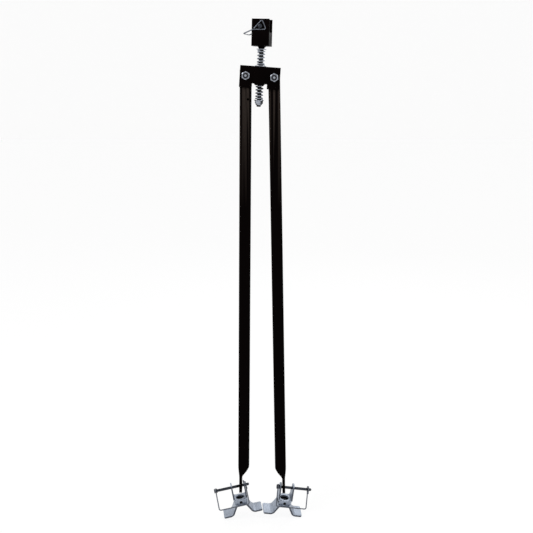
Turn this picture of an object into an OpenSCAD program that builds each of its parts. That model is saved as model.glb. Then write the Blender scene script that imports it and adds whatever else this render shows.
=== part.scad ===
// Spring-cushioned A-frame tow bar: a hitch head on a swivelling spring bolt,
// a pivot bracket, two square-tube legs and two foot clevises with lock pins.
// The origin is the centre of the hitch pin. +X is to the right, +Y to the rear, +Z up.

/* [Hitch head] */
// Outside width of the square head
head_w = 37.5; // [34:0.5:46]
// Wall of the head
head_wall = 3.2; // [2:0.1:4]
// Height of the two ears above the hitch pin
head_up = 15; // [12:0.5:20]
// Depth of the head below the hitch pin
head_down = 40; // [34:0.5:48]
// Depth below the hitch pin at which the side walls end
side_cut = 12; // [10:0.5:16]
// Lean of the head to the right, in degrees
head_lean = 1.5; // [0:0.1:3]
// Swivel of the head about its own height, in degrees
head_turn = -11; // [-20:1:0]
// Diameter of the hitch pin
hitch_pin_d = 9.5; // [8:0.1:11]

/* [Spring bolt] */
// Diameter of the long bolt and of the two pivot bolts
bolt_d = 9.5; // [8:0.1:10.5]
// Lean of the long bolt, in degrees
bolt_lean = 3; // [0:0.1:4]
// Length of the welded collar under the head
boss_h = 5.4; // [4:0.1:8]
// Outside diameter of the two cushion springs
spring_d = 17.4; // [16:0.1:20]
// Wire of the two cushion springs
spring_wire = 2.5; // [2:0.1:3]
// Pitch of the two cushion springs
spring_pitch = 6.6; // [5.5:0.1:8]
// Length of the upper spring
upper_spring_l = 32.4; // [24:0.2:44]
// Length of the lower spring
lower_spring_l = 64.4; // [52:0.2:80]
// Thickness of every washer
washer_t = 1.6; // [1.2:0.1:2.5]
// Diameter of the washers at the outer ends of the springs
washer_d = 21; // [20:0.5:24]
// Diameter of the washers against the bracket
web_washer_d = 24; // [20:0.5:28]

/* [Pivot bracket] */
// Width of the bracket
bracket_w = 85; // [78:1:104]
// Height of the bracket
bracket_h = 46; // [42:0.5:56]
// Sheet thickness of the bracket
bracket_t = 3.2; // [2.5:0.1:4]
// Free depth between the two flanges
bracket_gap = 27; // [26.5:0.1:30]
// Lean of the bracket, in degrees
bracket_lean = 4; // [2:0.1:5]
// Distance between the two leg pivots
pivot_gap = 60; // [56:0.5:72]
// Depth of the pivots below the top of the bracket
pivot_drop = 21; // [19.5:0.5:26]
// Width of the notch between the two lobes
notch_w = 32; // [26:0.5:38]
// Height of the notch between the two lobes
notch_h = 9.8; // [6:0.2:14]
// Width across the flats of every nut and bolt head
nut_af = 15.5; // [14.3:0.1:17]

/* [Legs] */
// Outside width of the square tube
leg_w = 25; // [20:0.5:25.5]
// Wall of the square tube
leg_wall = 2; // [1.2:0.1:3]
// Length from the leg pivot to the lock pin
leg_l = 928; // [700:1:1150]
// Lean of the left leg away from the middle, in degrees
left_leg_lean = 0.55; // [0.3:0.05:4]
// Lean of the right leg away from the middle, in degrees
right_leg_lean = 1.05; // [0.8:0.05:4]
// Thickness of the flattened end
flat_t = 6.4; // [5:0.1:8]
// Depth of the flattened end
flat_w = 40; // [32:0.5:42]
// Height of the flattened end above the lock pin
flat_up = 28; // [24:1:40]
// Reach of the flattened end below the lock pin
flat_down = 10; // [8:0.5:12]
// Outward offset of the flattened end from the middle of the tube
flat_shift = 6.7; // [3:0.1:9]
// Length of the taper between the tube and the flattened end
taper_l = 26; // [18:1:36]

/* [Feet] */
// Free width between the two ears of a clevis
ear_gap = 27; // [26:0.5:34]
// Sheet thickness of the clevis
ear_t = 3; // [2:0.1:4]
// Depth of the clevis from front to rear
clevis_d = 32; // [28:0.5:36]
// Radius of the ear tips about the lock pin
ear_r = 10.5; // [8:0.1:12]
// Depth of the clevis floor below the lock pin
floor_drop = 27.6; // [27:0.2:34]
// Height of the clevis skirt, floor included
skirt_h = 10.6; // [8:0.2:14]
// Diameter of the access hole in the clevis floor
access_d = 17; // [12:0.5:20]
// Thickness of the seat plate at the bottom of the clevis
seat_t = 2.4; // [2:0.1:3]
// Diameter of the hole in the front skirt
skirt_hole_d = 7; // [4:0.2:7]
// Diameter of the bolt that clamps the clevis to its strap
foot_bolt_d = 8; // [6:0.2:9]
// Overall width of the foot strap
strap_w = 90; // [84:0.5:92]
// Depth of the foot strap from front to rear
strap_d = 38; // [36:0.5:42]
// Thickness of the foot strap
strap_t = 4; // [2.5:0.1:5]
// Rise of the middle of the foot strap above its ends
strap_rise = 22; // [14:0.5:28]
// Length of each flat end of the foot strap
tab_l = 20; // [14:0.5:24]
// Outward offset of a foot on its lock pin from the flattened leg end
foot_shift = 7; // [5.5:0.1:7.2]
// Turn of both feet about the upright, in degrees
foot_turn = 6.3; // [4:0.1:7]
// Roll of the left foot, in degrees, outer end low
left_foot_roll = 10.5; // [8:0.1:12]
// Roll of the right foot, in degrees, outer end low
right_foot_roll = 9; // [6:0.1:10]
// Pitch of the left foot, in degrees, floor swung to the rear
left_foot_pitch = 3; // [0:0.5:10]
// Pitch of the right foot, in degrees, floor swung to the rear
right_foot_pitch = 8; // [0:0.5:10]

/* [Lock pins] */
// Diameter of the two foot lock pins
lock_pin_d = 6.35; // [5.5:0.05:7]
// Length of a foot lock pin from the middle of its head to its tip
lock_pin_l = 78.5; // [76:0.5:90]
// Distance between the two arms of a foot latch wire
bail_span = 70; // [66:0.5:74]
// Drop of the bar of a foot latch wire below its pin
bail_drop = 45; // [44.5:0.5:48]
// Diameter of every latch wire
wire_d = 2; // [1.6:0.1:2.2]
// Angle of a foot latch wire in front of its foot, in degrees
bail_angle = 30; // [29:0.5:40]
// Length of the hitch pin from the middle of its head to its tip
hitch_pin_l = 64; // [60:0.5:75]
// Distance between the two arms of the hitch latch wire
hitch_bail_span = 58; // [50:0.5:60]
// Drop of the bar of the hitch latch wire below its pin
hitch_bail_drop = 40; // [38:0.5:44]
// Angle of the hitch latch wire from straight down, in degrees
hitch_bail_angle = 66; // [55:1:80]

/* [Hidden] */
$fn = 64;
LEFT = -1;
RIGHT = 1;
// Clearances, all radial or face to face
running_fit = 0.08;  // a shaft that turns or slides in its hole
bolt_play = 0.3;     // a clamped bolt in its hole
face_gap = 0.05;     // between flat faces of pieces that move past each other
tilt_gap = face_gap + spring_d / 2 * tan(abs(bracket_lean - bolt_lean));  // spring end on a leaning washer
wire_play = 0.3;     // between a latch wire and what it lies against

bolt_r = bolt_d / 2;
nut_h = 9;
nut_collar_h = 2.6;
bolt_head_h = 6;
bolt_end = 3.6;
foot_nut_h = 6.5;

// Stations along the long bolt, measured down from the underside of the head
head_washer_s = boss_h + face_gap;
upper_spring_s = head_washer_s + washer_t + face_gap;
web_s = upper_spring_s + upper_spring_l + tilt_gap + washer_t + face_gap;
lower_spring_s = web_s + bracket_t + face_gap + washer_t + tilt_gap;
end_washer_s = lower_spring_s + lower_spring_l + face_gap;
end_nut_s = end_washer_s + washer_t;
bolt_tip_s = end_nut_s + nut_h + bolt_end;

bracket_depth = bracket_gap + 2 * bracket_t;
leg_top = leg_w / 2 - 0.5;
flange_y = bracket_depth / 2;

clevis_w = ear_gap + 2 * ear_t;
skirt_z = -floor_drop - skirt_h;
tab_z = skirt_z - strap_rise;
flat_hole_r = lock_pin_d / 2 + 1.6;

// Pin head: an outer flange, a neck that the latch wire turns on, and an inner flange
pin_neck_w = wire_d + 0.8;
pin_flange_t = 2.2;
pin_head_half = pin_neck_w / 2 + pin_flange_t;
// Where each foot pin's head lies along its own axis
left_pin_x = clevis_w / 2 + wire_d / 2 + wire_play - bail_span;
right_pin_x = -clevis_w / 2 - pin_head_half - face_gap;
hitch_pin_y = hitch_bail_span - head_w / 2 - wire_d / 2 - wire_play;

function leg_lean(side) = side == LEFT ? left_leg_lean : -right_leg_lean;
function foot_roll(side) = side == LEFT ? -left_foot_roll : right_foot_roll;
function foot_pitch(side) = side == LEFT ? left_foot_pitch : right_foot_pitch;
function pin_x(side) = side == LEFT ? left_pin_x : right_pin_x;

// ---- Frames: each places its children where the piece hangs ----

module in_head() {
    rotate([0, head_lean, 0]) rotate([0, 0, head_turn]) children();
}

module on_bolt(s) {
    rotate([0, head_lean, 0]) translate([0, 0, -head_down])
        rotate([0, bolt_lean - head_lean, 0]) translate([0, 0, -s]) children();
}

module in_bracket() {
    on_bolt(web_s) rotate([0, bracket_lean - bolt_lean, 0]) children();
}

module at_pivot(side) {
    in_bracket() translate([side * pivot_gap / 2, 0, -pivot_drop]) children();
}

module in_leg(side) {
    at_pivot(side) rotate([0, leg_lean(side) - bracket_lean, 0]) children();
}

// The pin axis lies along X in this frame, and its middle is the middle of the foot
module in_foot(side) {
    in_leg(side) translate([side * flat_shift, 0, -leg_l])
        rotate([0, foot_roll(side) - leg_lean(side), 0]) rotate([0, 0, foot_turn])
        translate([side * foot_shift, 0, 0]) rotate([foot_pitch(side), 0, 0]) children();
}

// ---- Shared shapes ----

function arc(c, r, a0, a1, n = 8) = [for (i = [0:n]) c + r * [cos(a0 + (a1 - a0) * i / n), sin(a0 + (a1 - a0) * i / n)]];

module rounded_square(w, d, r) {
    x = w / 2 - r;
    y = d / 2 - r;
    polygon(concat(arc([x, y], r, 0, 90), arc([-x, y], r, 90, 180),
                   arc([-x, -y], r, 180, 270), arc([x, -y], r, 270, 360)));
}

module washer(d) {
    difference() {
        cylinder(h = washer_t, d = d);
        translate([0, 0, -1]) cylinder(h = washer_t + 2, r = bolt_r + bolt_play);
    }
}

// Hexagon with its corners turned off, one face on the ground plane
module hexagon(h) {
    intersection() {
        cylinder(h = h, d = nut_af / cos(30), $fn = 6);
        cylinder(h = h, r1 = nut_af / 2 + h, r2 = nut_af / 2);
    }
}

// Lock nut with a collar that holds a nylon ring
module locknut() {
    difference() {
        union() {
            hexagon(nut_h - nut_collar_h);
            cylinder(h = nut_h, r = nut_af / 2 - 0.9);
        }
        translate([0, 0, -1]) cylinder(h = nut_h + 2, r = bolt_r + face_gap);
        translate([0, 0, nut_h - nut_collar_h]) cylinder(h = nut_collar_h + 1, r = nut_af / 2 - 2);
    }
}

module locknut_insert() {
    difference() {
        translate([0, 0, nut_h - nut_collar_h]) cylinder(h = nut_collar_h - 0.4, r = nut_af / 2 - 2);
        cylinder(h = nut_h + 2, r = bolt_r + face_gap);
    }
}

// Hexagon bolt from its head's bearing face down to its rounded end
module hex_bolt(length) {
    hexagon(bolt_head_h);
    translate([0, 0, 1 - length]) cylinder(h = length - 1, r = bolt_r);
    translate([0, 0, -length]) cylinder(h = 1, r1 = bolt_r - 0.8, r2 = bolt_r);
}

function unit(v) = v / norm(v);
// Direction of the path at point i: the mean of the two neighbouring stretches
function heading(p, i) = unit(
    (i > 0 ? unit(p[i] - p[i - 1]) : [0, 0, 0]) +
    (i < len(p) - 1 ? unit(p[i + 1] - p[i]) : [0, 0, 0]));
// Side vector at each point, carried along the path without twist
function sides_along(p, i, s) = i == len(p) ? [] :
    let (h = heading(p, i), q = unit(s - h * (s * h))) concat([q], sides_along(p, i + 1, q));

// Round wire of radius r along the points p, with flat ends
module wire(p, r, n = 10) {
    h0 = heading(p, 0);
    s = sides_along(p, 0, cross(h0, abs(h0[2]) < 0.9 ? [0, 0, 1] : [1, 0, 0]));
    rings = len(p);
    points = [for (i = [0:rings - 1], k = [0:n - 1])
        let (h = heading(p, i), a = 360 * k / n) p[i] + r * (cos(a) * s[i] + sin(a) * cross(h, s[i]))];
    sides = [for (i = [0:rings - 2], k = [0:n - 1])
        [i * n + k, i * n + (k + 1) % n, (i + 1) * n + (k + 1) % n, (i + 1) * n + k]];
    ends = [[for (k = [n - 1:-1:0]) k], [for (k = [0:n - 1]) (rings - 1) * n + k]];
    polyhedron(points, concat([for (f = sides) [f[3], f[2], f[1], f[0]]], [for (f = ends) [for (k = [n - 1:-1:0]) f[k]]]));
}

// Points of an arc of radius r that rounds the corner b between a and c
function corner(a, b, c, r, n = 4) =
    let (u = unit(a - b), v = unit(c - b), half = acos(u * v) / 2,
         mid = b + unit(u + v) * r / sin(half), t = r / tan(half),
         from = unit(b + u * t - mid), to = unit(b + v * t - mid), turn = 180 - 2 * half)
    [for (i = [0:n]) mid + r * (from * sin(turn * (n - i) / n) + to * sin(turn * i / n)) / sin(turn)];

// A compression spring standing on the ground plane, with its end turns closed up
module spring(length) {
    coil_r = (spring_d - spring_wire) / 2;
    rise = length - spring_wire;
    end_pitch = spring_wire + 0.25;
    turns = (rise - 2 * end_pitch) / spring_pitch + 2;
    steps = 16;
    count = round(turns * steps);
    function height(t) = t < 1 ? end_pitch * t :
        t > turns - 1 ? rise - end_pitch * (turns - t) : end_pitch + (t - 1) * spring_pitch;
    wire([for (i = [0:count]) let (t = turns * i / count)
        [coil_r * cos(360 * t), coil_r * sin(360 * t), spring_wire / 2 + height(t)]], spring_wire / 2, 8);
}

// Lock pin along +X from the middle of its head to its tip
module pin_along_x(d, length) {
    r = d / 2;
    neck_r = r + 0.25;
    flange_r = r + 1.9;
    rotate([0, 90, 0]) {
        translate([0, 0, -pin_head_half]) cylinder(h = pin_flange_t, r1 = flange_r - 0.7, r2 = flange_r);
        translate([0, 0, -pin_neck_w / 2 - 0.1]) cylinder(h = pin_neck_w + 0.2, r = neck_r);
        translate([0, 0, pin_neck_w / 2]) cylinder(h = pin_flange_t, r = flange_r);
        translate([0, 0, pin_head_half - 0.1]) cylinder(h = length - pin_head_half - 1.4, r = r);
        translate([0, 0, length - 1.5]) cylinder(h = 1.5, r1 = r, r2 = r - 1.5);
    }
}

// Latch wire of a lock pin: an eye on the neck at x = 0, a square bend that reaches
// down by drop, and a three-cornered loop over the shank at x = span
module bail_along_x(pin_d, span, drop) {
    wire_r = wire_d / 2;
    eye_r = pin_d / 2 + 0.25 + wire_play / 2 + wire_r;
    loop_in = pin_d / 2 + wire_play + wire_r;
    loop_w = 2 * loop_in;
    bend = 4;
    eye = [for (a = [-50:-20:-330]) [0, eye_r * sin(a), -eye_r * cos(a)]];
    low = [0, 0, -drop];
    low_far = [span, 0, -drop];
    tip = [span, 0, -2.6 * loop_in];
    back = [span, loop_w, 1.35 * loop_in];
    front = [span, -loop_w, 1.35 * loop_in];
    last = [span + wire_d * 0.9, -0.4 * wire_d, -2.1 * loop_in];
    wire(concat(eye, [[0, 0.2 * eye_r, -1.5 * eye_r]], corner([0, 0, 0], low, low_far, bend),
                corner(low, low_far, tip, bend), corner(low_far, tip, back, 1.5, 2),
                corner(tip, back, front, wire_d, 5), corner(back, front, last, wire_d, 5), [last]), wire_r);
}

// ---- Hitch head and its pin ----

module hitch_head() {
    color("#0c0a0a") in_head() difference() {
        translate([0, 0, -head_down]) linear_extrude(head_down + head_up)
            rounded_square(head_w, head_w, head_wall + 0.8);
        translate([0, 0, head_wall - head_down]) linear_extrude(head_down + head_up)
            rounded_square(head_w - 2 * head_wall, head_w - 2 * head_wall, 1.5);
        for (side = [LEFT, RIGHT])
            translate([side * head_w / 2, 0, head_up - side_cut / 2])
                translate([-head_wall - 1, -head_w / 2 + head_wall, -side_cut / 2 - head_up])
                cube([2 * head_wall + 2, head_w - 2 * head_wall, 2 * head_up + side_cut]);
        rotate([90, 0, 0]) cylinder(h = head_w + 2, r = hitch_pin_d / 2 + running_fit, center = true);
        translate([0, 0, -head_down - 1]) cylinder(h = head_wall + 2, r = bolt_r + bolt_play + 0.3);
    }
}

module swivel_boss() {
    color("#0c0a0a") on_bolt(boss_h) difference() {
        cylinder(h = boss_h - 0.4, r1 = bolt_r + 1.6, r2 = bolt_r + 4.6);
        translate([0, 0, -1]) cylinder(h = boss_h + 2, r = bolt_r + bolt_play);
    }
}

module hitch_pin_place() {
    in_head() translate([0, hitch_pin_y, 0]) rotate([0, 0, -90]) rotate([-hitch_bail_angle, 0, 0]) children();
}

module hitch_pin() {
    color("#b9bec6") hitch_pin_place() pin_along_x(hitch_pin_d, hitch_pin_l);
}

module hitch_pin_bail() {
    color("#b9bec6") hitch_pin_place() bail_along_x(hitch_pin_d, hitch_bail_span, hitch_bail_drop);
}

// ---- Spring bolt ----

module spring_bolt() {
    color("#b9bec6") on_bolt(-head_wall - 0.6) hex_bolt(bolt_tip_s + head_wall + 0.6);
}

module head_washer() {
    color("#b9bec6") on_bolt(head_washer_s + washer_t) washer(washer_d);
}

module upper_spring() {
    color("#c4c8cf") on_bolt(upper_spring_s + upper_spring_l) spring(upper_spring_l);
}

module upper_web_washer() {
    color("#b9bec6") in_bracket() translate([0, 0, face_gap]) washer(web_washer_d);
}

module lower_web_washer() {
    color("#b9bec6") in_bracket() translate([0, 0, -bracket_t - face_gap - washer_t]) washer(web_washer_d);
}

module lower_spring() {
    color("#c4c8cf") on_bolt(lower_spring_s + lower_spring_l) spring(lower_spring_l);
}

module end_washer() {
    color("#b9bec6") on_bolt(end_washer_s + washer_t) washer(washer_d);
}

module end_locknut() {
    color("#b9bec6") on_bolt(end_nut_s) rotate([180, 0, 15]) locknut();
}

module end_locknut_insert() {
    color("#3a3d45") on_bolt(end_nut_s) rotate([180, 0, 15]) locknut_insert();
}

// ---- Pivot bracket and its fasteners ----

// Channel section in the YZ plane, open downwards, with rounded bends
module channel_section() {
    y = flange_y;
    outer = bracket_t + 1.8;
    inner = 1.8;
    polygon(concat(
        [[-y, -bracket_h - 1]], [for (p = arc([-y + outer, -outer], outer, 180, 90)) p],
        [for (p = arc([y - outer, -outer], outer, 90, 0)) p], [[y, -bracket_h - 1], [y - bracket_t, -bracket_h - 1]],
        [for (p = arc([y - bracket_t - inner, -bracket_t - inner], inner, 0, 90)) p],
        [for (p = arc([-y + bracket_t + inner, -bracket_t - inner], inner, 90, 180)) p],
        [[-y + bracket_t, -bracket_h - 1]]));
}

// Front outline of the bracket with its notch and rounded corners
module bracket_outline() {
    w = bracket_w / 2;
    n = notch_w / 2;
    low = -bracket_h;
    r = 3;
    notch_r = 4;
    polygon(concat(
        [[-w, 0]], arc([-w + r, low + r], r, 180, 270), arc([-n - 1.5, low + 1.5], 1.5, 270, 360, 4),
        arc([-n + notch_r, low + notch_h - notch_r], notch_r, 180, 90), arc([n - notch_r, low + notch_h - notch_r], notch_r, 90, 0),
        arc([n + 1.5, low + 1.5], 1.5, 180, 270, 4), arc([w - r, low + r], r, 270, 360), [[w, 0]]));
}

module pivot_bracket() {
    color("#0c0a0a") in_bracket() difference() {
        intersection() {
            translate([-bracket_w / 2, 0, 0]) rotate([90, 0, 90]) linear_extrude(bracket_w) channel_section();
            translate([0, bracket_depth / 2 + 1, 0]) rotate([90, 0, 0]) linear_extrude(bracket_depth + 2) bracket_outline();
        }
        for (side = [LEFT, RIGHT])
            translate([side * pivot_gap / 2, 0, -pivot_drop]) rotate([90, 0, 0])
                cylinder(h = bracket_depth + 2, r = bolt_r + bolt_play, center = true);
        translate([0, 0, -bracket_t - 1]) cylinder(h = bracket_t + 2, r = bolt_r + 0.8);
    }
}

module pivot_bolt(side) {
    color("#b9bec6") at_pivot(side) translate([0, flange_y + washer_t, 0]) rotate([-90, 0, 0])
        hex_bolt(bracket_depth + washer_t + nut_h + 1.2);
}

module pivot_washer(side) {
    color("#b9bec6") at_pivot(side) translate([0, flange_y, 0]) rotate([-90, 0, 0]) washer(washer_d);
}

module pivot_locknut(side) {
    color("#b9bec6") at_pivot(side) translate([0, -flange_y, 0]) rotate([90, side == LEFT ? 0 : 8, 0]) locknut();
}

module pivot_insert(side) {
    color("#3a3d45") at_pivot(side) translate([0, -flange_y, 0]) rotate([90, side == LEFT ? 0 : 8, 0]) locknut_insert();
}

// ---- Legs ----

module leg(side) {
    tube_end = leg_l - flat_up - taper_l;
    corner_r = 2.4;
    round_r = 12;
    color("#0c0a0a") in_leg(side) difference() {
        union() {
            translate([0, 0, -tube_end]) linear_extrude(tube_end + leg_top) rounded_square(leg_w, leg_w, corner_r);
            hull() {
                translate([0, 0, -tube_end]) linear_extrude(0.01) rounded_square(leg_w, leg_w, corner_r);
                translate([side * flat_shift, 0, -leg_l + flat_up])
                    linear_extrude(0.01) rounded_square(flat_t, flat_w, flat_t / 2 - 0.1);
            }
            translate([side * flat_shift, 0, -leg_l]) intersection() {
                translate([0, 0, -flat_down]) linear_extrude(flat_up + flat_down) rounded_square(flat_t, flat_w, flat_t / 2 - 0.1);
                rotate([90, 0, 90]) translate([0, 0, -flat_t]) linear_extrude(2 * flat_t) polygon(concat(
                    [[flat_w / 2, flat_up], [-flat_w / 2, flat_up]],
                    arc([-flat_w / 2 + round_r, -flat_down + round_r], round_r, 180, 270),
                    arc([flat_w / 2 - round_r, -flat_down + round_r], round_r, 270, 360)));
            }
        }
        translate([0, 0, -tube_end + 2]) linear_extrude(tube_end + leg_top)
            rounded_square(leg_w - 2 * leg_wall, leg_w - 2 * leg_wall, 1);
        rotate([90, 0, 0]) cylinder(h = leg_w + 2, r = bolt_r + running_fit, center = true);
        translate([side * flat_shift, 0, -leg_l]) rotate([0, 90, 0])
            cylinder(h = flat_t + 2, r = flat_hole_r, center = true);
    }
}

// ---- Feet ----

// Side outline of an ear in the YZ plane
module ear_outline() {
    d = clevis_d / 2;
    polygon(concat([[d, skirt_z], [d, -floor_drop + 4]], arc([0, 0], ear_r, 12, 168, 16),
                   [[-d, -floor_drop + 4], [-d, skirt_z]]));
}

// Bent-up ears on a floor whose front and rear edges are turned down as a skirt
module foot_clevis(side) {
    color("#aab2bf") in_foot(side) difference() {
        translate([-clevis_w / 2, 0, 0]) rotate([90, 0, 90]) linear_extrude(clevis_w) ear_outline();
        translate([-ear_gap / 2, -clevis_d, 4 - floor_drop]) cube([ear_gap, 2 * clevis_d, 100]);
        // the inner bends between the floor and the ears
        translate([-ear_gap / 2 + 4, -clevis_d, -floor_drop]) cube([ear_gap - 8, 2 * clevis_d, 10]);
        for (s = [-1, 1])
            translate([s * (ear_gap / 2 - 4), 0, 4 - floor_drop]) rotate([90, 0, 0])
                cylinder(h = 2 * clevis_d, r = 4, center = true);
        // the hollow between the floor and the seat plate, open at both sides
        translate([-clevis_w / 2 - 1, -clevis_d / 2 + ear_t, skirt_z + seat_t])
            cube([clevis_w + 2, clevis_d - 2 * ear_t, skirt_h - ear_t - seat_t]);
        translate([0, 0, skirt_z + seat_t + 0.1]) cylinder(h = skirt_h, r = access_d / 2);
        translate([0, 0, skirt_z - 1]) cylinder(h = skirt_h, r = foot_bolt_d / 2 + bolt_play);
        translate([0, -clevis_d / 2 + ear_t, skirt_z + (skirt_h - ear_t + seat_t) / 2]) rotate([90, 0, 0])
            cylinder(h = ear_t + 1, r = skirt_hole_d / 2);
        rotate([0, 90, 0]) cylinder(h = clevis_w + 2, r = lock_pin_d / 2 + running_fit, center = true);
    }
}

// Hat-shaped strip: a raised middle, two slopes and two flat ends
module foot_strap(side) {
    w = strap_w / 2;
    tab = w - tab_l;
    top = clevis_w / 2 - 3.5;
    slope = atan2(strap_rise, tab - top);
    bite = strap_t * tan(slope / 2);
    low = tab_z - strap_t;
    color("#aab2bf") in_foot(side) difference() {
        rotate([90, 0, 0]) translate([0, 0, -strap_d / 2]) linear_extrude(strap_d) polygon([
            [-w, tab_z], [-tab, tab_z], [-top, skirt_z], [top, skirt_z], [tab, tab_z], [w, tab_z],
            [w, low], [tab - bite, low], [top - bite, skirt_z - strap_t],
            [bite - top, skirt_z - strap_t], [bite - tab, low], [-w, low]]);
        // corners of the flat ends taken off
        for (sx = [-1, 1], sy = [-1, 1])
            translate([sx * w, sy * strap_d / 2, tab_z]) rotate([0, 0, 45]) cube([4.2, 4.2, 3 * strap_t], center = true);
        translate([0, 0, skirt_z - strap_t - 1]) cylinder(h = strap_t + 2, r = foot_bolt_d / 2 + bolt_play);
    }
}

// Round-headed bolt whose head lies in the hollow of the clevis
module foot_bolt(side) {
    reach = seat_t + strap_t + foot_nut_h + 2;
    color("#22242a") in_foot(side) translate([0, 0, skirt_z + seat_t]) {
        cylinder(h = skirt_h - ear_t - seat_t - 0.8, r1 = foot_bolt_d * 0.93, r2 = foot_bolt_d * 0.8);
        translate([0, 0, 1 - reach]) cylinder(h = reach, r = foot_bolt_d / 2);
        translate([0, 0, -reach]) cylinder(h = 1, r1 = foot_bolt_d / 2 - 0.7, r2 = foot_bolt_d / 2);
    }
}

module foot_nut(side) {
    color("#b9bec6") in_foot(side) translate([0, 0, skirt_z - strap_t - foot_nut_h]) difference() {
        cylinder(h = foot_nut_h, d = 1.62 * foot_bolt_d / cos(30), $fn = 6);
        translate([0, 0, -1]) cylinder(h = foot_nut_h + 2, r = foot_bolt_d / 2 + face_gap);
    }
}

module lock_pin(side) {
    color("#b9bec6") in_foot(side) translate([pin_x(side), 0, 0]) pin_along_x(lock_pin_d, lock_pin_l);
}

module lock_bail(side) {
    color("#b9bec6") in_foot(side) translate([pin_x(side), 0, 0]) rotate([-bail_angle, 0, 0])
        bail_along_x(lock_pin_d, bail_span, bail_drop);
}

hitch_head();
swivel_boss();
hitch_pin();
hitch_pin_bail();
spring_bolt();
head_washer();
upper_spring();
upper_web_washer();
lower_web_washer();
lower_spring();
end_washer();
end_locknut();
end_locknut_insert();
pivot_bracket();
pivot_bolt(LEFT);  // left_pivot_bolt
pivot_bolt(RIGHT);  // right_pivot_bolt
pivot_washer(LEFT);  // left_pivot_washer
pivot_washer(RIGHT);  // right_pivot_washer
pivot_locknut(LEFT);  // left_pivot_locknut
pivot_locknut(RIGHT);  // right_pivot_locknut
pivot_insert(LEFT);  // left_pivot_insert
pivot_insert(RIGHT);  // right_pivot_insert
leg(LEFT);  // left_leg
leg(RIGHT);  // right_leg
foot_clevis(LEFT);  // left_foot_clevis
foot_clevis(RIGHT);  // right_foot_clevis
foot_strap(LEFT);  // left_foot_strap
foot_strap(RIGHT);  // right_foot_strap
foot_bolt(LEFT);  // left_foot_bolt
foot_bolt(RIGHT);  // right_foot_bolt
foot_nut(LEFT);  // left_foot_nut
foot_nut(RIGHT);  // right_foot_nut
lock_pin(LEFT);  // left_lock_pin
lock_pin(RIGHT);  // right_lock_pin
lock_bail(LEFT);  // left_lock_bail
lock_bail(RIGHT);  // right_lock_bail
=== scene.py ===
"""Builds the looks of a folding, spring-cushioned tow bar around its frame."""

import math

import bmesh
import bpy
from mathutils import Matrix, Vector


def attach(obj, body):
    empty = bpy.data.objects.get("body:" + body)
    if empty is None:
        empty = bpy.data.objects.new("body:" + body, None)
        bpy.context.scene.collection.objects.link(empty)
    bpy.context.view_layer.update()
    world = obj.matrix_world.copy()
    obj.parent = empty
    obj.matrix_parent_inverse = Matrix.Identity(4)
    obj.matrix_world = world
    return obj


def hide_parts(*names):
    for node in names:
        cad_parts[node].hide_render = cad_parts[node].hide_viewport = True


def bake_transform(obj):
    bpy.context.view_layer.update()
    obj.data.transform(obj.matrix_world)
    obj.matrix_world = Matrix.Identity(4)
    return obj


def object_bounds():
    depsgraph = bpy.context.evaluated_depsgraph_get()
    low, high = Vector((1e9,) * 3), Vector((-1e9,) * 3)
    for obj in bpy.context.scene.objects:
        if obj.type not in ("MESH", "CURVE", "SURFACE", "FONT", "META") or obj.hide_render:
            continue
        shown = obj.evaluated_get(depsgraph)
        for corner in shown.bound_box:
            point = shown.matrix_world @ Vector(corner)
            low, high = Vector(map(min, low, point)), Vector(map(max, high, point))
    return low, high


bl_info = {
    "name": "Spring-cushioned tow bar",
    "version": (1, 0, 0),
    "blender": (4, 5, 0),
    "location": "View3D > Sidebar > Tow bar",
    "description": "Models a folding tow bar with a cushioned hitch head",
    "category": "Object",
}

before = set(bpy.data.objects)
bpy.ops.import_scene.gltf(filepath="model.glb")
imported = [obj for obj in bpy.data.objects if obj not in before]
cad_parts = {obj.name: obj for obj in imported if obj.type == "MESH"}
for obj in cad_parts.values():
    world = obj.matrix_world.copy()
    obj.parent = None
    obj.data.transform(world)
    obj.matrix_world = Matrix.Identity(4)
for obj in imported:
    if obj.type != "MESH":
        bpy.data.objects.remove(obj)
CAD_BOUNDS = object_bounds()
MM = 0.001
LEFT, RIGHT = -1, 1
SIDES = (("left", LEFT), ("right", RIGHT))

# Fixed sizes, in millimetres, that every piece shares
HEAD_DOWN, HEAD_UP, SIDE_CUT, HEAD_WALL = 40.0, 15.0, 12.0, 3.2
BOLT_R = 4.75
WASHER_T, WASHER_R, WEB_WASHER_R = 1.6, 10.5, 12.0
BOSS_H = 5.4
UPPER_SPRING_L, LOWER_SPRING_L = 32.4, 64.4
GAP = 0.05
TILT_GAP = 0.202
BRACKET_W, BRACKET_H, BRACKET_T, BRACKET_DEPTH = 85.0, 46.0, 3.2, 33.4
PIVOT_GAP, PIVOT_DROP = 60.0, 21.0
NOTCH_W, NOTCH_H = 32.0, 9.8
NUT_AF, NUT_H, NUT_COLLAR_H = 15.5, 9.0, 2.6
LEG_L, LEG_TOP = 928.0, 12.0
FLAT_T, FLAT_W, FLAT_UP, FLAT_SHIFT, TAPER_L = 6.4, 40.0, 28.0, 6.7, 26.0
FLAT_DOWN = {LEFT: 13.0, RIGHT: 10.5}
EAR_GAP, EAR_T, CLEVIS_D, EAR_R = 27.0, 3.0, 32.0, 10.5
FLOOR_Z, SKIRT_Z, TAB_Z = -27.6, -38.2, -60.2
STRAP_D, STRAP_T, TAB_L = 38.0, 4.0, 20.0
CLEVIS_W = EAR_GAP + 2 * EAR_T
LOCK_PIN_R, HITCH_PIN_R = 3.175, 4.75
LOCK_PIN_L, HITCH_PIN_L = 78.5, 64.0
PIN_HEAD_HALF = 3.6
ACCESS_R = 10.0
FRONT_HOLE_R, FRONT_HOLE_Z = 3.4, -34.4
SEAT_T, RISER_ROOF_T = 2.4, 1.2
FOOT_BOLT_R, FOOT_NUT_AF, FOOT_NUT_H = 4.0, 12.96, 6.5
LEG_HOLE_R, LEG_HOLE_X, LEG_HOLE_Z = 2.5, 5.0, -49.0
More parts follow.
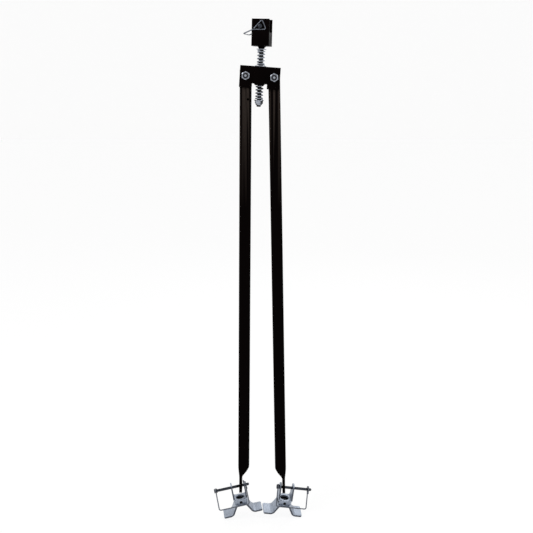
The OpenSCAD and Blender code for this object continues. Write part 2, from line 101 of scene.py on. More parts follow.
TONGUE_HALF_W, TONGUE_Z, TONGUE_TAPER = 12.5, -39.4, 0.72
BAIL_SPAN, BAIL_DROP, BAIL_ANGLE = 70.0, 45.0, 30.0
HITCH_BAIL_SPAN, HITCH_BAIL_DROP, HITCH_BAIL_ANGLE = 58.0, 40.0, 66.0
# The frame's latch wires are thinner than the ones made here
FRAME_WIRE_R = 1.0
HITCH_WIRE_INSET = 1.4

# Stations along the long bolt, measured down from the underside of the head
HEAD_WASHER_S = BOSS_H + GAP
UPPER_SPRING_S = HEAD_WASHER_S + WASHER_T + GAP
WEB_S = UPPER_SPRING_S + UPPER_SPRING_L + TILT_GAP + WASHER_T + GAP
LOWER_SPRING_S = WEB_S + BRACKET_T + GAP + WASHER_T + TILT_GAP
END_WASHER_S = LOWER_SPRING_S + LOWER_SPRING_L + GAP
END_NUT_S = END_WASHER_S + WASHER_T


def turn(axis, degrees):
    return Matrix.Rotation(math.radians(degrees), 4, axis)


def move(x=0.0, y=0.0, z=0.0):
    """A move given in millimetres."""
    return Matrix.Translation((x * MM, y * MM, z * MM))


# Leans and turns, in degrees; the bracket's lean is from upright
HEAD_LEAN, HEAD_TURN, BOLT_LEAN, BRACKET_LEAN = 1.5, -11, 3.0, 4.0
HEAD = turn("Y", HEAD_LEAN) @ turn("Z", HEAD_TURN)


def on_bolt(station):
    """Where the long bolt is, a distance below the underside of the head."""
    return (turn("Y", HEAD_LEAN) @ move(z=-HEAD_DOWN)
            @ turn("Y", BOLT_LEAN - HEAD_LEAN) @ move(z=-station))


BRACKET = on_bolt(WEB_S) @ turn("Y", BRACKET_LEAN - BOLT_LEAN)


def at_pivot(side):
    return BRACKET @ move(side * PIVOT_GAP / 2, 0, -PIVOT_DROP)


LEG_LEAN = {LEFT: 0.55, RIGHT: -1.05}
FOOT_TURN, FOOT_SHIFT = 6.3, 7.0
FOOT_ROLL = {LEFT: -10.5, RIGHT: 9.0}
FOOT_PITCH = {LEFT: 3.0, RIGHT: 8.0}
PIN_X = {LEFT: 17.8 - BAIL_SPAN, RIGHT: -20.15}


def in_leg(side):
    return at_pivot(side) @ turn("Y", LEG_LEAN[side] - BRACKET_LEAN)


def in_foot(side):
    return (in_leg(side) @ move(side * FLAT_SHIFT, 0, -LEG_L)
            @ turn("Y", FOOT_ROLL[side] - LEG_LEAN[side]) @ turn("Z", FOOT_TURN)
            @ move(side * FOOT_SHIFT) @ turn("X", FOOT_PITCH[side]))


# ---------------------------------------------------------------- colours

def linear(code):
    """An sRGB hex colour as linear red, green and blue."""
    parts = [int(code[i:i + 2], 16) / 255 for i in (1, 3, 5)]
    return [c / 12.92 if c <= 0.04045 else ((c + 0.055) / 1.055) ** 2.4 for c in parts]


class TowBarSizes(bpy.types.PropertyGroup):
    head_width: bpy.props.FloatProperty(
        name="Head width", description="Outside width of the square hitch head",
        default=0.0375, unit="LENGTH")
    spring_diameter: bpy.props.FloatProperty(
        name="Spring diameter", description="Outside diameter of both cushion springs",
        default=0.0174, unit="LENGTH")
    spring_wire: bpy.props.FloatProperty(
        name="Spring wire", description="Wire diameter of both cushion springs",
        default=0.0025, unit="LENGTH")
    spring_pitch: bpy.props.FloatProperty(
        name="Spring pitch", description="Rise of one turn of a cushion spring",
        default=0.0066, unit="LENGTH")
    leg_width: bpy.props.FloatProperty(
        name="Leg width", description="Outside width of the square leg tube",
        default=0.025, unit="LENGTH")
    strap_width: bpy.props.FloatProperty(
        name="Strap width", description="Overall width of a foot strap",
        default=0.090, unit="LENGTH")
    latch_wire: bpy.props.FloatProperty(
        name="Latch wire", description="Diameter of every latch wire",
        default=0.0026, unit="LENGTH")


class TowBarColours(bpy.types.PropertyGroup):
    powder_coat: bpy.props.FloatVectorProperty(
        name="Powder coat", description="Black of the head, bracket and legs",
        subtype="COLOR", default=linear("#060303"))
    zinc: bpy.props.FloatVectorProperty(
        name="Zinc plate", description="Bluish zinc of the feet",
        subtype="COLOR", default=linear("#A2ABB9"))
    fastener: bpy.props.FloatVectorProperty(
        name="Fastener zinc", description="Brighter zinc of the bolts, nuts and pins",
        subtype="COLOR", default=linear("#9DA2AB"))
    nylon: bpy.props.FloatVectorProperty(
        name="Nylon ring", description="Dark nylon ring of the lock nuts",
        subtype="COLOR", default=linear("#23262E"))


# ---------------------------------------------------------------- materials

def add_node(tree, kind, settings=(), links=()):
    """Adds a node, sets its attributes or sockets, and links sockets into it."""
    node = tree.nodes.new(kind)
    for key, value in dict(settings).items():
        if isinstance(key, str) and hasattr(node, key):
            setattr(node, key, value)
        else:
            node.inputs[key].default_value = value
    for key, source in dict(links).items():
        tree.links.new(source, node.inputs[key])
    return node


def new_material(name, **shader):
    """A material whose shader sockets hold the given constants."""
    material = bpy.data.materials.new(name)
    material.use_nodes = True
    surface = material.node_tree.nodes["Principled BSDF"]
    for key, value in shader.items():
        surface.inputs[key.replace("_", " ")].default_value = value
    material.diffuse_color = (*list(surface.inputs["Base Color"].default_value)[:3], 1)
    return material, material.node_tree, surface


def mottle(tree, surface, colour, size_mm, low, high, roughness):
    """Varies colour and roughness with a noise whose grain is size_mm across."""
    place = add_node(tree, "ShaderNodeTexCoord")
    noise = add_node(tree, "ShaderNodeTexNoise",
                     {"Scale": 1 / (size_mm * MM), "Detail": 3.0, "Roughness": 0.6},
                     {"Vector": place.outputs["Object"]})
    ramp = add_node(tree, "ShaderNodeValToRGB", {}, {"Fac": noise.outputs["Fac"]})
    ramp.color_ramp.elements[0].position = 0.32
    ramp.color_ramp.elements[1].position = 0.68
    ramp.color_ramp.elements[0].color = (*[c * low for c in colour], 1)
    ramp.color_ramp.elements[1].color = (*[min(1, c * high) for c in colour], 1)
    tree.links.new(ramp.outputs["Color"], surface.inputs["Base Color"])
    worn = add_node(tree, "ShaderNodeMapRange",
                    {"To Min": roughness[0], "To Max": roughness[1]},
                    {"Value": noise.outputs["Fac"]})
    tree.links.new(worn.outputs["Result"], surface.inputs["Roughness"])
    return place


def add_bump(tree, surface, vector, size_mm, height_mm):
    """Raises a noise of the given grain and height."""
    noise = add_node(tree, "ShaderNodeTexNoise",
                     {"Scale": 1 / (size_mm * MM), "Detail": 2.0}, {"Vector": vector})
    bump = add_node(tree, "ShaderNodeBump", {"Strength": 1.0, "Distance": height_mm * MM},
                    {"Height": noise.outputs["Fac"]})
    tree.links.new(bump.outputs["Normal"], surface.inputs["Normal"])


def black_coat(name):
    """The black coat's shader. Its specular level is far below a real coat's, so that
    it stays black in a studio that is white all round."""
    colour = list(bpy.context.scene.tow_bar_colours.powder_coat)
    return colour, *new_material(name, Base_Color=(*colour, 1), Roughness=0.3, IOR=1.5,
                                 Specular_IOR_Level=0.012)


def powder_coat():
    # Baked black powder coat on steel: very dark, with a faint orange peel.
    colour, material, tree, surface = black_coat("black_powder_coat")
    # Cloudy patches 60 mm wide
    place = mottle(tree, surface, colour, 60, 0.7, 1.5, (0.24, 0.38))
    # Orange peel of about 1.6 mm, drawn as coarse as it needs to show
    add_bump(tree, surface, place.outputs["Object"], 1.6, 0.012)
    return material


def leg_powder_coat_and_painted_reflection():
    # The same coat on the leg tubes, with a painted reflection: brown-grey streaks along the
    # tube that are strongest near the bracket.
    colour, material, tree, surface = black_coat("leg_powder_coat_painted_reflection")
    place = add_node(tree, "ShaderNodeTexCoord")
    # Painted reflection streaks 5 mm wide and half a metre long
    drawn = add_node(tree, "ShaderNodeMapping", {"Scale": (1, 1, 0.01)},
                     {"Vector": place.outputs["Object"]})
    streaks = add_node(tree, "ShaderNodeTexNoise",
                       {"Scale": 1 / (5 * MM), "Detail": 1.0, "Roughness": 0.4},
                       {"Vector": drawn.outputs["Vector"]})
    edges = add_node(tree, "ShaderNodeMapRange", {"From Min": 0.44, "From Max": 0.56},
                     {"Value": streaks.outputs["Fac"]})
    height = add_node(tree, "ShaderNodeSeparateXYZ", {},
                      {"Vector": place.outputs["Object"]})
    # The painted reflection streaks fade out between 120 and 380 mm below the hitch pin
    fade = add_node(tree, "ShaderNodeMapRange",
                    {"From Min": -0.38, "From Max": -0.12}, {"Value": height.outputs["Z"]})
    share = add_node(tree, "ShaderNodeMath", {"operation": "MULTIPLY"},
                     {0: edges.outputs["Result"], 1: fade.outputs["Result"]})
    # Mixes the painted reflection's brown-grey into the black
    reflection_tint = add_node(tree, "ShaderNodeMix", {"data_type": "RGBA"},
                    {"Factor": share.outputs["Value"]})
    reflection_tint.inputs["A"].default_value = (*colour, 1)
    reflection_tint.inputs["B"].default_value = (*linear("#352E2A"), 1)
    tree.links.new(reflection_tint.outputs["Result"], surface.inputs["Base Color"])
    add_bump(tree, surface, place.outputs["Object"], 1.6, 0.012)
    return material


def zinc_plate():
    # Bright zinc plate on pressed steel: a bluish satin metal with faint clouding.
    colour = list(bpy.context.scene.tow_bar_colours.zinc)
    material, tree, surface = new_material(
        "bright_zinc_plate", Base_Color=(*colour, 1), Metallic=0.6, Roughness=0.38)
    # Clouds of about 12 mm
    place = mottle(tree, surface, colour, 12, 0.9, 1.06, (0.34, 0.46))
    # Rolling grain of 0.9 mm, coarser than the real grain so that it shows
    add_bump(tree, surface, place.outputs["Object"], 0.9, 0.004)
    return material


def sheared_edge():
    # Cut edge of the plated sheet: rougher than its faces, and drawn dark so that the
    # thickness of the sheet reads.
    colour = linear("#50545D")
    material, tree, surface = new_material(
        "sheared_plated_edge", Base_Color=(*colour, 1), Metallic=0.8, Roughness=0.45)
    place = mottle(tree, surface, colour, 3, 0.75, 1.25, (0.38, 0.55))
    # Shear marks of about 1 mm
    add_bump(tree, surface, place.outputs["Object"], 1.0, 0.02)
    return material


def plated_steel(name, colour, grain_mm, roughness):
    """A plated round or headed steel, with tool marks of grain_mm."""
    material, tree, surface = new_material(
        name, Base_Color=(*colour, 1), Metallic=1.0, Roughness=sum(roughness) / 2)
    place = mottle(tree, surface, colour, grain_mm, 0.8, 1.1, roughness)
    add_bump(tree, surface, place.outputs["Object"], 0.5, 0.006)
    return material


def fastener_zinc():
    # Bright zinc on turned and headed steel: a cleaner, harder shine than the feet.
    colour = list(bpy.context.scene.tow_bar_colours.fastener)
    return plated_steel("fastener_zinc", colour, 2, (0.18, 0.32))


def pin_steel():
    # Turned and plated pin steel: glossy, and much darker than the nuts.
    return plated_steel("dark_plated_pin_steel", linear("#34373D"), 2, (0.16, 0.28))


def spring_steel():
    # Zinc-plated drawn spring wire: bright, with slightly darker patches.
    return plated_steel("zinc_plated_spring_wire", linear("#9CA1AA"), 3, (0.2, 0.34))


def latch_wire_steel():
    # Hard-drawn latch wire: plated like the springs, but duller and greyer.
    return plated_steel("plated_latch_wire", linear("#62666E"), 3, (0.24, 0.4))


def black_oxide_and_painted_shade():
    # Chemically blackened screw steel: dark, with uneven patches. The same dark finish is
    # also painted shade inside the foot risers, in their front holes and on the pivot screws'
    # threads.
    colour = linear("#17181B")
    material, tree, surface = new_material(
        "dark_screw_steel_and_painted_shade", Base_Color=(*colour, 1), Metallic=0.6, Roughness=0.4)
    mottle(tree, surface, colour, 2, 0.7, 1.6, (0.3, 0.5))
    return material


def nylon():
    # Moulded nylon ring of a lock nut: dark, waxy and slightly translucent.
    colour = list(bpy.context.scene.tow_bar_colours.nylon)
    material, tree, surface = new_material(
        "lock_nut_nylon", Base_Color=(*colour, 1), Roughness=0.45, IOR=1.53,
        Subsurface_Weight=0.05, Subsurface_Scale=0.001)
    mottle(tree, surface, colour, 1.5, 0.8, 1.2, (0.4, 0.52))
    return material


FINISHES = {}


def made(finish):
    """The material of a finish, made once."""
    makers = {
        "black_paint": powder_coat, "zinc": zinc_plate, "bright_steel": fastener_zinc,
        "spring_steel": spring_steel, "black_steel": black_oxide_and_painted_shade, "dark_nylon": nylon,
        "leg_coat_with_painted_reflection": leg_powder_coat_and_painted_reflection, "pin_steel": pin_steel, "latch_wire": latch_wire_steel,
        "sheared_edge": sheared_edge,
    }
    if finish not in FINISHES:
        FINISHES[finish] = makers[finish]()
    return FINISHES[finish]


def trim(obj, finish, second, pick):
    """Gives a piece its finish, and a second one to the faces that pick() accepts by
    their middle and normal."""
    obj.data.materials.clear()
    obj.data.materials.append(made(finish))
    obj.data.materials.append(made(second))
    for face in obj.data.polygons:
        face.material_index = int(pick(face.center / MM, face.normal))


# ---------------------------------------------------------------- modelling helpers

def select_only(*objs):
    bpy.ops.object.select_all(action="DESELECT")
    for obj in objs:
        obj.select_set(True)
    bpy.context.view_layer.objects.active = objs[0]


def started(name):
    """Names the primitive that was just added."""
    obj = bpy.context.active_object
    obj.name = name
    select_only(obj)
    return obj


def edit(obj, pick=None, mode="FACE"):
    """Enters edit mode with the elements selected that pick() accepts by their middle."""
    select_only(obj)
    bpy.ops.object.mode_set(mode="EDIT")
    bpy.ops.mesh.select_mode(type=mode)
    bpy.ops.mesh.select_all(action="DESELECT")
    mesh = bmesh.from_edit_mesh(obj.data)
    kinds = {"FACE": mesh.faces, "EDGE": mesh.edges, "VERT": mesh.verts}[mode]
    for element in kinds:
        points = [element.co] if mode == "VERT" else [v.co for v in element.verts]
        if pick is None or pick(*points):
            element.select_set(True)
    mesh.select_flush_mode()
    bmesh.update_edit_mesh(obj.data)


def leave_edit():
    bpy.ops.object.mode_set(mode="OBJECT")


def modify(obj, kind, **settings):
    """Adds a modifier and applies it."""
    select_only(obj)
    modifier = obj.modifiers.new(kind.lower(), kind)
    for key, value in settings.items():
        setattr(modifier, key, value)
    bpy.ops.object.modifier_apply(modifier=modifier.name)


def block(name, x, y, z):
    """A box between the given pairs of millimetre bounds."""
    centre = [sum(pair) / 2 * MM for pair in (x, y, z)]
    size = [(pair[1] - pair[0]) * MM for pair in (x, y, z)]
    bpy.ops.object.select_all(action="DESELECT")
    bpy.ops.mesh.primitive_cube_add(size=1, location=centre)
    obj = started(name)
    obj.scale = size
    bpy.ops.object.transform_apply(location=True, rotation=True, scale=True)
    return obj


def rod(name, radius, length, centre=(0, 0, 0), axis="Z", sides=48):
    """A plain cylinder, in millimetres, along one axis."""
    bpy.ops.object.select_all(action="DESELECT")
    bpy.ops.mesh.primitive_cylinder_add(
        vertices=sides, radius=radius * MM, depth=length * MM,
        location=[c * MM for c in centre],
        rotation={"X": (0, math.pi / 2, 0), "Y": (math.pi / 2, 0, 0), "Z": (0, 0, 0)}[axis])
    obj = started(name)
    bpy.ops.object.transform_apply(location=True, rotation=True, scale=True)
    return obj


def cut(obj, *tools, how="DIFFERENCE"):
    """Cuts tools out of a piece, or keeps what they share, and deletes them."""
    for tool in tools:
        modify(obj, "BOOLEAN", object=tool, operation=how, solver="EXACT")
        bpy.data.objects.remove(tool, do_unlink=True)


def soften(obj, width, segments=2, angle=35):
    """Rounds the sharp edges of a piece, in millimetres."""
    modify(obj, "BEVEL", width=width * MM, segments=segments, limit_method="ANGLE",
           angle_limit=math.radians(angle), harden_normals=False)
    smooth(obj)


def smooth(obj, angle=35):
    select_only(obj)
    bpy.ops.object.shade_smooth_by_angle(angle=math.radians(angle))


def bevel_edges(obj, pick, width, segments):
    """Rounds the edges that pick() accepts by their two ends."""
    edit(obj, pick, "EDGE")
    bpy.ops.mesh.bevel(offset=width * MM, segments=segments, affect="EDGES", profile=0.5)
    leave_edit()


def turned(name, profile, sides=48):
    """A lathe-turned piece about Z: profile holds (radius, height) pairs in millimetres.
    A profile that ends where it starts makes a ring; any other is closed at both ends."""
    ring = profile[0] == profile[-1]
    bpy.ops.object.select_all(action="DESELECT")
    bpy.ops.mesh.primitive_circle_add(
        vertices=sides, radius=profile[0][0] * MM, location=(0, 0, profile[0][1] * MM),
        fill_type="NOTHING" if ring else "NGON")
    obj = started(name)
    bpy.ops.object.transform_apply(location=True, rotation=True, scale=True)
    bpy.ops.object.mode_set(mode="EDIT")
    bpy.ops.mesh.select_mode(type="EDGE" if ring else "FACE")
    bpy.ops.mesh.select_all(action="SELECT")
    for (r0, z0), (r1, z1) in zip(profile, profile[1:]):
        bpy.ops.mesh.extrude_region_move(
            TRANSFORM_OT_translate={"value": (0, 0, (z1 - z0) * MM)})
        bpy.ops.transform.resize(value=(r1 / r0, r1 / r0, 1),
                                 center_override=(0, 0, z1 * MM))
    bpy.ops.mesh.select_all(action="SELECT")
    bpy.ops.mesh.remove_doubles(threshold=0.000001)
    bpy.ops.mesh.normals_make_consistent(inside=False)
    leave_edit()
    return obj


def joined(name, *objs):
    select_only(*objs)
    bpy.ops.object.join()
    obj = bpy.context.active_object
    obj.name = name
    return obj


def wire(name, points, radius, resolution=3):
    """A round wire through points given in millimetres, with closed ends."""
    bpy.ops.object.select_all(action="DESELECT")
    bpy.ops.curve.primitive_nurbs_path_add()
    obj = started(name)
    obj.location = (0, 0, 0)
    curve = obj.data
    curve.splines.clear()
    spline = curve.splines.new("POLY")
    spline.points.add(len(points) - 1)
    for point, place in zip(spline.points, points):
        point.co = (*[c * MM for c in place], 1)
    curve.bevel_depth = radius * MM
    curve.bevel_resolution = resolution
    curve.use_fill_caps = True
    bpy.ops.object.convert(target="MESH")
    obj = bpy.context.active_object
    obj.name = name
    edit(obj)
    bpy.ops.mesh.select_all(action="SELECT")
    bpy.ops.mesh.remove_doubles(threshold=0.000001)
    bpy.ops.mesh.normals_make_consistent(inside=False)
    leave_edit()
    smooth(obj, 60)
    return obj


def placed(obj, where, body, finish, *nodes):
    """Puts a finished piece in its place, and says what it rides on and stands for."""
    obj.matrix_world = where @ obj.matrix_world
    select_only(obj)
    bpy.ops.object.transform_apply(location=True, rotation=True, scale=True)
    # A trimmed piece has its finishes already
    if len(obj.data.materials) < 2:
        obj.data.materials.clear()
        obj.data.materials.append(made(finish))
    if body:
        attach(obj, body)
    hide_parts(*nodes)
    return obj


def rounded_corner(a, b, c, radius, count=5):
    """Points of an arc that rounds the corner at b."""
    a, b, c = Vector(a), Vector(b), Vector(c)
    u, v = (a - b).normalized(), (c - b).normalized()
    half = u.angle(v) / 2
    middle = b + (u + v).normalized() * radius / math.sin(half)
    first = (b + u * radius / math.tan(half) - middle).normalized()
    last = (b + v * radius / math.tan(half) - middle).normalized()
    sweep = math.pi - 2 * half
    return [middle + radius * (first * math.sin(sweep * (1 - i / count))
                               + last * math.sin(sweep * i / count)) / math.sin(sweep)
            for i in range(count + 1)]


# ---------------------------------------------------------------- shared pieces

def washer(name, radius):
    inner = BOLT_R + 0.3
    return turned(name, [(inner, 0.15), (inner + 0.15, 0), (radius - 0.3, 0), (radius, 0.3),
                         (radius, WASHER_T - 0.15), (radius - 0.2, WASHER_T),
                         (inner + 0.15, WASHER_T), (inner, WASHER_T - 0.15), (inner, 0.15)])


def hexagon(name, across_flats, height, chamfer_bottom=False):
    """Hexagon bar with its corners turned off."""
    corner = across_flats / 2 / math.cos(math.pi / 6)
    obj = rod(name, corner, height, (0, 0, height / 2), sides=6)
    inscribed = across_flats / 2 - 0.2
    rise = (corner - inscribed) * 0.6
    clear = corner + 0.3
    profile = [(inscribed, 0), (clear, rise)] if chamfer_bottom else [(clear, 0)]
    profile += [(clear, height - rise), (inscribed, height)]
    cut(obj, turned("hex_turning", profile, 64), how="INTERSECT")
    soften(obj, 0.15, 2, 25)
    return obj


def lock_nut_shell(name):
    """Hexagon nut with a rolled collar that grips a nylon ring; its seat is at z = 0."""
    bore = BOLT_R + 0.06
    top = NUT_H - NUT_COLLAR_H
    body = hexagon(name, NUT_AF, top)
    outer = NUT_AF / 2 - 0.9
    lip = outer - 0.75
    cut(body, rod("bore", bore, NUT_H * 3))
    collar = turned("collar", [
        (outer, top - 0.6), (outer, NUT_H - 0.9), (outer - 0.35, NUT_H - 0.25),
        (outer - 0.5, NUT_H), (lip - 0.1, NUT_H), (lip - 0.2, NUT_H - 0.15),
        (lip, NUT_H - 0.3), (lip, top - 0.6), (outer, top - 0.6)], 64)
    smooth(collar, 50)
    return joined(name, body, collar)


def nylon_ring(name):
    outer = NUT_AF / 2 - 1.7
    inner = BOLT_R - 1.2
    top = NUT_H - 0.6
    low = NUT_H - NUT_COLLAR_H
    ring = turned(name, [(inner, low), (outer, low), (outer, top - 0.1), (outer - 0.4, top),
                         (inner + 0.5, top), (inner, top - 0.5), (inner, low)])
    smooth(ring, 40)
    return ring


def threaded(top_z, end_z, radius, pitch=1.5):
    """Profile of a thread that runs down from top_z, with a chamfered end."""
    points = []
    z = top_z
    while z - pitch > end_z + 1:
        points += [(radius, z), (radius, z - 0.15 * pitch), (radius - 0.65, z - 0.5 * pitch),
                   (radius - 0.65, z - 0.6 * pitch), (radius, z - 0.95 * pitch)]
        z -= pitch
    return points + [(radius, z - 0.1), (radius, end_z + 0.9), (radius - 0.9, end_z),
                     (radius * 0.5, end_z)]


def hex_bolt(name, length, thread_length):
    """Bolt whose head bears at z = 0 and whose shank reaches down to -length."""
    head = hexagon("head", NUT_AF, 6)
    # raised washer face under the head
    shank = turned(name, [
        (NUT_AF / 2 - 0.6, 0.3), (NUT_AF / 2 - 0.6, 0), (BOLT_R + 0.25, 0), (BOLT_R, -0.3)]
        + threaded(-length + thread_length, -length, BOLT_R))
    smooth(shank, 30)
    return joined(name, head, shank)


def helix(length, spring_diameter, wire_diameter, pitch):
    """Centre line of a compression spring with closed ends, standing on z = 0."""
    coil = (spring_diameter - wire_diameter) / 2
    rise = length - wire_diameter
    end_pitch = wire_diameter + 0.25
    turns = (rise - 2 * end_pitch) / pitch + 2
    count = round(turns * 40)
    points = []
    for i in range(count + 1):
        t = turns * i / count
        if t < 1:
            height = end_pitch * t
        elif t > turns - 1:
            height = rise - end_pitch * (turns - t)
        else:
            height = end_pitch + (t - 1) * pitch
        points.append((coil * math.cos(math.tau * t), coil * math.sin(math.tau * t),
                       wire_diameter / 2 + height))
    return points


def turned_pin(name, radius, length):
    """Lock pin along +X from the middle of its grooved head to its tip."""
    neck = bpy.context.scene.tow_bar_sizes.latch_wire / MM + 0.8
    big = radius + 1.9
    low, high = -PIN_HEAD_HALF, PIN_HEAD_HALF
    pin = turned(name, [
        (big - 1.1, low), (big - 0.35, low + 0.2), (big, low + 0.8), (big, -neck / 2 - 0.25),
        (big - 0.25, -neck / 2), (radius + 0.25, -neck / 2 + 0.05),
        (radius + 0.25, neck / 2 - 0.05), (big - 0.25, neck / 2), (big, neck / 2 + 0.25),
        (big, high - 0.3), (big - 0.3, high), (radius + 0.02, high), (radius, high + 0.2),
        (radius, length - 1.9), (radius - 0.25, length - 1.4), (radius - 1.2, length - 0.3),
        (radius - 1.7, length)])
    pin.matrix_world = turn("Y", 90)
    select_only(pin)
    bpy.ops.object.transform_apply(location=True, rotation=True, scale=True)
    smooth(pin, 32)
    return pin


def latch_wire(name, pin_radius, span, drop):
    """Latch wire: an eye in the pin's groove at x = 0, a bar, and a loop at x = span."""
    diameter = bpy.context.scene.tow_bar_sizes.latch_wire / MM
    eye_r = pin_radius + 0.25 + 0.15 + diameter / 2
    # The bar's outside stays where the frame's thinner wire has it
    drop -= diameter / 2 - FRAME_WIRE_R
    inside = pin_radius + 0.3 + diameter / 2
    reach = 1.7 * inside
    points = [(0, eye_r * math.sin(math.radians(a)), -eye_r * math.cos(math.radians(a)))
              for a in range(-50, -331, -10)]
    low, low_far = (0, 0, -drop), (span, 0, -drop)
    tip = (span, 0, -2.6 * inside)
    back, front = (span, reach, 1.35 * inside), (span, -reach, 1.35 * inside)
    last = (span + 1.6, -0.4 * diameter, -2.1 * inside)
    points += [(0, 0.2 * eye_r, -1.5 * eye_r)]
    points += rounded_corner((0, 0, 0), low, low_far, 4)
    points += rounded_corner(low, low_far, tip, 4)
    points += rounded_corner(low_far, tip, back, 1.5)
    points += rounded_corner(tip, back, front, diameter)
    points += rounded_corner(back, front, last, diameter)
    points += [last]
    return wire(name, points, diameter / 2)


# ---------------------------------------------------------------- pieces

def build_head():
    w = bpy.context.scene.tow_bar_sizes.head_width / MM
    h = w / 2
    head = block("hitch_head_tube", (-h, h), (-h, h), (-HEAD_DOWN, HEAD_UP))
    bevel_edges(head, lambda a, b: abs(a.z - b.z) > 0.01, 2.4, 5)
    inner = h - HEAD_WALL
    hollow = block("hollow", (-inner, inner), (-inner, inner),
                   (HEAD_WALL - HEAD_DOWN, HEAD_UP + 5))
    bevel_edges(hollow, lambda a, b: abs(a.z - b.z) > 0.01, 1.5, 3)
    slot = block("slot", (-h - 3, h + 3), (-inner, inner), (-SIDE_CUT, HEAD_UP + 5))
    bevel_edges(slot, lambda a, b: max(a.z, b.z) < 0 and abs(a.x - b.x) > 0.01, 2.5, 4)
    cut(head, hollow, slot, rod("pin_hole", HITCH_PIN_R + 0.12, w + 10, axis="Y"),
        rod("bolt_hole", BOLT_R + 0.6, 12, (0, 0, -HEAD_DOWN)))
    soften(head, 0.55, 3, 40)
    placed(head, HEAD, "hitch", "black_paint", "hitch_head")
    # The welded collar: a cone with the ripples of a hand-laid weld bead
    collar = turned("weld_collar", [
        (BOLT_R + 0.3, 0.4), (BOLT_R + 1.2, 0.4), (BOLT_R + 1.7, 1.2), (BOLT_R + 1.9, 2.6),
        (BOLT_R + 2.8, 3.8), (BOLT_R + 4.2, 4.7), (BOLT_R + 4.6, 5.15), (BOLT_R + 0.3, 5.15),
        (BOLT_R + 0.3, 0.4)], 72)
    edit(collar, lambda a: a.xy.length > (BOLT_R + 2.4) * MM, "VERT")
    mesh = bmesh.from_edit_mesh(collar.data)
    for vertex in mesh.verts:
        if vertex.select:
            around = math.atan2(vertex.co.y, vertex.co.x)
            grow = 1 + 0.035 * math.sin(14 * around) + 0.02 * math.sin(5 * around + 1)
            vertex.co.x *= grow
            vertex.co.y *= grow
    bmesh.update_edit_mesh(collar.data)
    leave_edit()
    smooth(collar, 60)
    placed(collar, on_bolt(BOSS_H), "hitch", "black_paint", "swivel_boss")


def build_hitch_pin():
    place = (HEAD @ move(y=HITCH_BAIL_SPAN - 18.75 - 1.3) @ turn("Z", -90)
             @ turn("X", -HITCH_BAIL_ANGLE))
    placed(turned_pin("hitch_pin_turned", HITCH_PIN_R, HITCH_PIN_L), place,
           "hitch_pin", "pin_steel", "hitch_pin")
    grown = bpy.context.scene.tow_bar_sizes.latch_wire / MM / 2 - FRAME_WIRE_R
    placed(latch_wire("hitch_latch_wire", HITCH_PIN_R, HITCH_BAIL_SPAN - grown,
                      HITCH_BAIL_DROP - HITCH_WIRE_INSET),
           place, "hitch_pin_wire", "latch_wire", "hitch_pin_bail")


def build_swivel_bolt():
    length = END_NUT_S + NUT_H + 3.6 + HEAD_WALL + 0.6
    placed(hex_bolt("swivel_bolt", length, 44), on_bolt(-HEAD_WALL - 0.6),
           "hitch", "black_steel", "spring_bolt")
    for name, where, body, radius in (
            ("head_washer", on_bolt(HEAD_WASHER_S + WASHER_T), "hitch", WASHER_R),
            ("upper_web_washer", BRACKET @ move(z=GAP), "cushion", WEB_WASHER_R),
            ("lower_web_washer", BRACKET @ move(z=-BRACKET_T - GAP - WASHER_T),
             "cushion", WEB_WASHER_R),
            ("end_washer", on_bolt(END_WASHER_S + WASHER_T), "hitch", WASHER_R)):
        disc = washer(name + "_plate", radius)
        smooth(disc, 30)
        placed(disc, where, body, "bright_steel", name)
    place = on_bolt(END_NUT_S) @ turn("X", 180) @ turn("Z", -15)
    placed(lock_nut_shell("end_lock_nut"), place, "hitch", "bright_steel", "end_locknut")
    placed(nylon_ring("end_nut_nylon"), place, "hitch", "dark_nylon", "end_locknut_insert")


def build_springs():
    sizes = bpy.context.scene.tow_bar_sizes
    for name, length, station, top_body, low_body in (
            ("upper_spring", UPPER_SPRING_L, UPPER_SPRING_S, "hitch", "cushion"),
            ("lower_spring", LOWER_SPRING_L, LOWER_SPRING_S, "cushion", "hitch")):
        coil = wire(name + "_coil", helix(length, sizes.spring_diameter / MM,
                                          sizes.spring_wire / MM, sizes.spring_pitch / MM),
                    sizes.spring_wire / MM / 2)
        placed(coil, on_bolt(station + length), None, "spring_steel", name)
        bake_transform(coil)


def build_bracket():
    w, d = BRACKET_W / 2, BRACKET_DEPTH / 2
    bracket = block("pivot_bracket_fold", (-w, w), (-d, d), (-BRACKET_H, 0))
    bevel_edges(bracket, lambda a, b: abs(a.x - b.x) > 0.01 and min(a.z, b.z) > -0.001, 5, 8)
    edit(bracket, lambda *p: len({round(v.x, 6) for v in p}) == 1
         or max(v.z for v in p) < -0.04)
    bpy.ops.mesh.delete(type="FACE")
    leave_edit()
    modify(bracket, "SOLIDIFY", thickness=BRACKET_T * MM, offset=-1, use_even_offset=True)
    bevel_edges(bracket, lambda a, b: abs(a.x) > 0.042 and abs(b.x) > 0.042
                and max(a.z, b.z) < -0.045 and abs(a.y - b.y) > 0.002, 3, 5)
    n = NOTCH_W / 2
    notch = block("notch", (-n, n), (-d - 5, d + 5), (-BRACKET_H - 10, NOTCH_H - BRACKET_H))
    # A short tapered tongue hangs into the notch
    tongue = block("tongue", (-TONGUE_HALF_W, TONGUE_HALF_W), (-d - 6, d + 6),
                   (TONGUE_Z, NOTCH_H - BRACKET_H + 1))
    edit(tongue, lambda *p: max(v.z for v in p) < (TONGUE_Z + 0.4) * MM)
    bpy.ops.transform.resize(value=(TONGUE_TAPER, 1, 1), center_override=(0, 0, 0))
    leave_edit()
    cut(notch, tongue)
    holes = [rod("hole", BOLT_R + 0.3, BRACKET_DEPTH + 10,
                 (s * PIVOT_GAP / 2, 0, -PIVOT_DROP), "Y") for s in (LEFT, RIGHT)]
    cut(bracket, notch, rod("web_hole", BOLT_R + 0.8, 20), *holes)
    soften(bracket, 0.45, 3, 40)
    placed(bracket, BRACKET, "bracket", "black_paint", "pivot_bracket")


